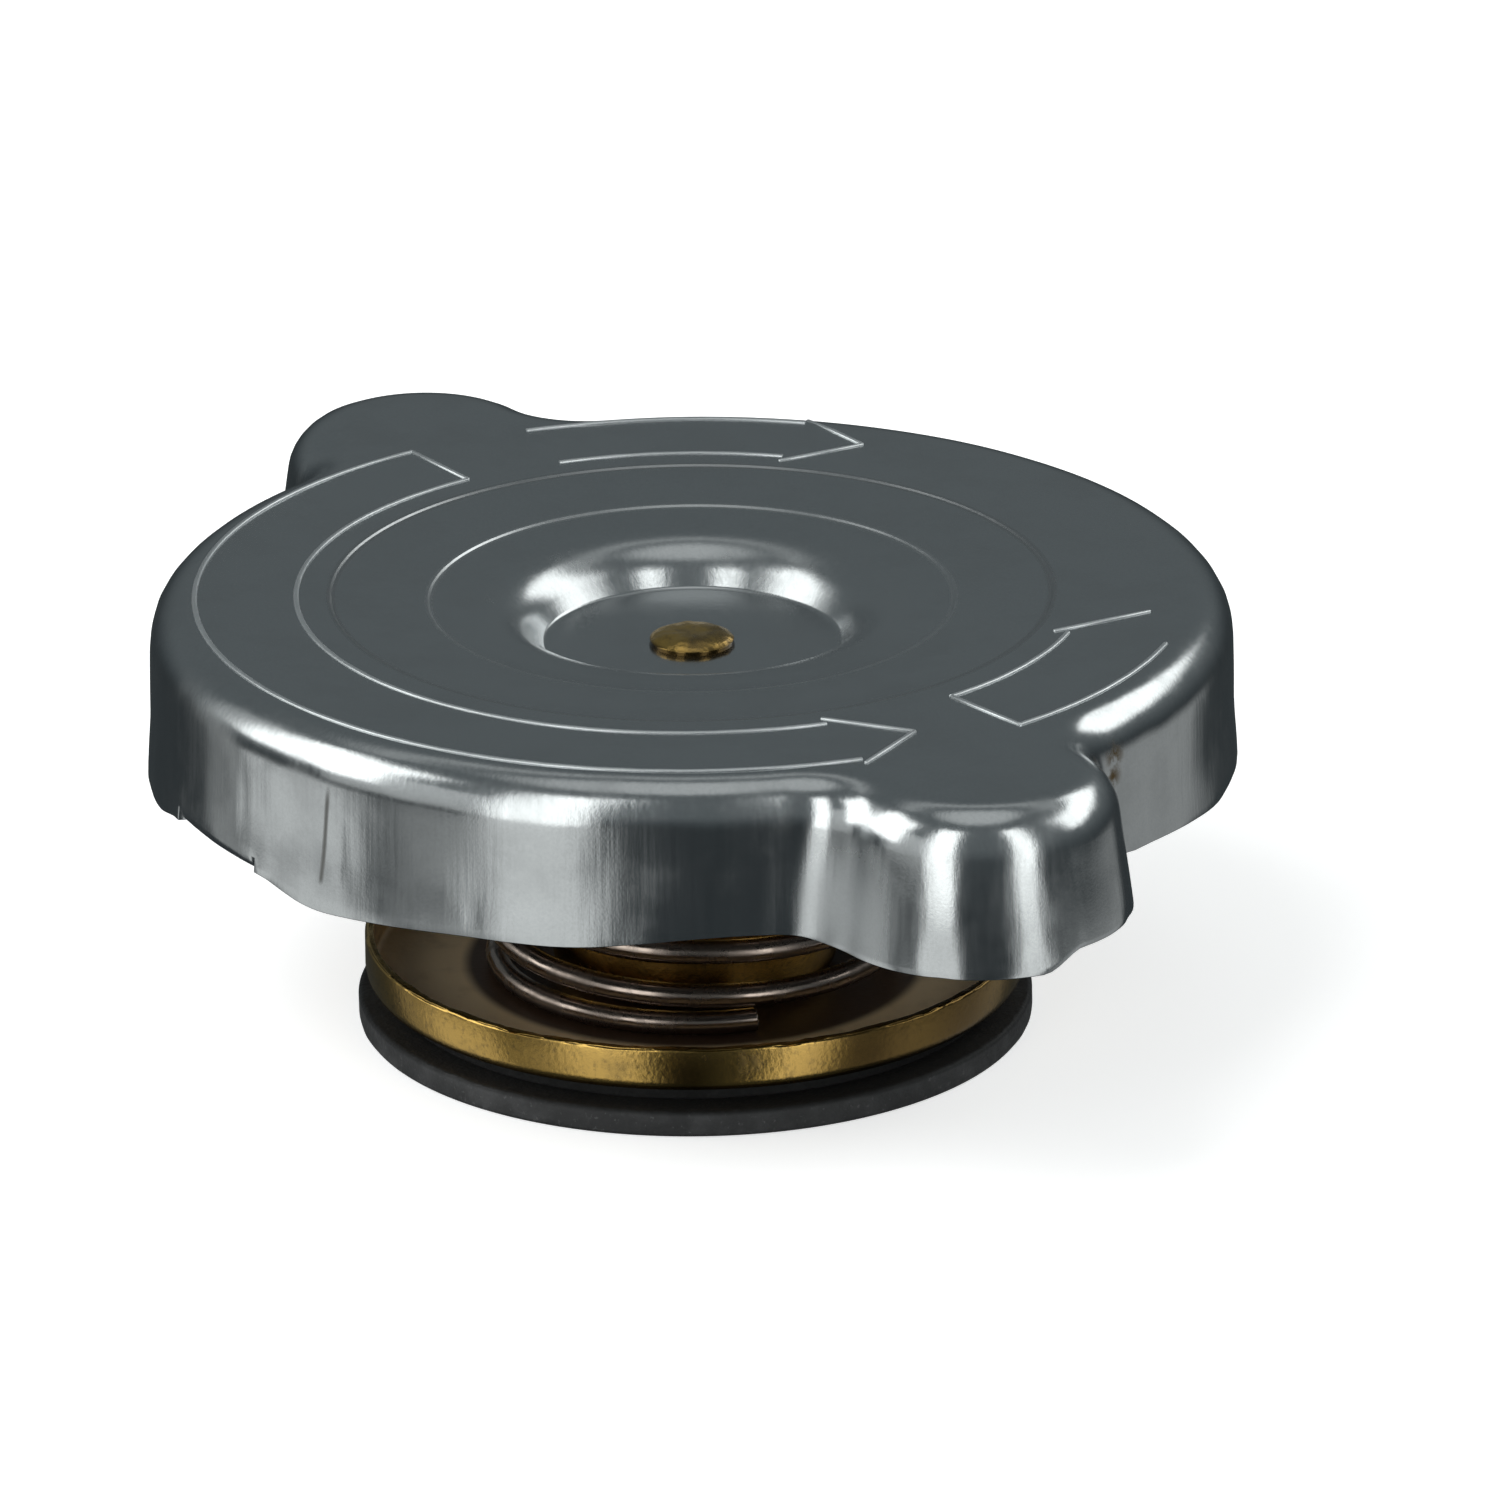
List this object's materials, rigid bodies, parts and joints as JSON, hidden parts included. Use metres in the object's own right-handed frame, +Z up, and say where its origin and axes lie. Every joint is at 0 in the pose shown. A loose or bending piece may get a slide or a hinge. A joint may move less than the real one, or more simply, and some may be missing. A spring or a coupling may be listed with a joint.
{
  "type": "coolant tank cap",
  "caption": "Bayonet pressure cap with two grip ears, seal disc and gasket, a spring-loaded valve plate with rubber seal and a central vacuum valve.",
  "frame": {"origin": "middle of the bounding box, on the underside of the valve seal", "axes": "+Z up along the rivet, out of the top face; +X along the line of the two ears; the claws lie on +Y and -Y"},
  "size_m": [0.0946, 0.0724, 0.03],
  "materials": {
    "shell_plating": "dull zinc-like plating, wiped and scuffed",
    "brass": "tarnished",
    "brass_bright": "satin",
    "spring_steel": "dark, oil-tempered",
    "stainless": "bright rolled",
    "gasket_rubber": "matt",
    "seal_rubber": "matt, dusty"
  },
  "bodies": {
    "shell": {"cap_shell": "shell_plating"},
    "carrier": {"center_rivet": "brass_bright", "swivel_washer": "stainless", "spring_disc": "stainless", "upper_gasket": "gasket_rubber", "gasket_retainer": "brass", "bell_housing": "brass", "rivet_washer": "brass"},
    "pressure_valve": {"main_spring": "spring_steel", "valve_guide": "brass", "valve_plate": "brass", "valve_seal": "seal_rubber", "seal_washer": "brass", "valve_eyelet": "brass_bright", "vacuum_spring_seat": "brass"},
    "vacuum_poppet": {"vacuum_valve": "brass_bright", "vacuum_seal": "seal_rubber", "vacuum_spring": "stainless", "vacuum_retainer": "brass"}
  },
  "joints": [
    {"name": "carrier_swivel", "type": "hinge", "parent": "shell", "child": "carrier", "pos_m": [0, 0, 0], "axis": [0, 0, 1], "continuous": true},
    {"name": "pressure_valve_lift", "type": "slide", "parent": "carrier", "child": "pressure_valve", "axis": [0, 0, 1], "range_m": [0, 0.003], "stiffness_N_per_m": 5000, "springref_m": -0.012, "deforming": ["main_spring"]},
    {"name": "vacuum_valve_drop", "type": "slide", "parent": "pressure_valve", "child": "vacuum_poppet", "axis": [0, 0, -1], "range_m": [0, 0.002], "stiffness_N_per_m": 300, "springref_m": -0.0028, "deforming": ["vacuum_spring"]}
  ]
}
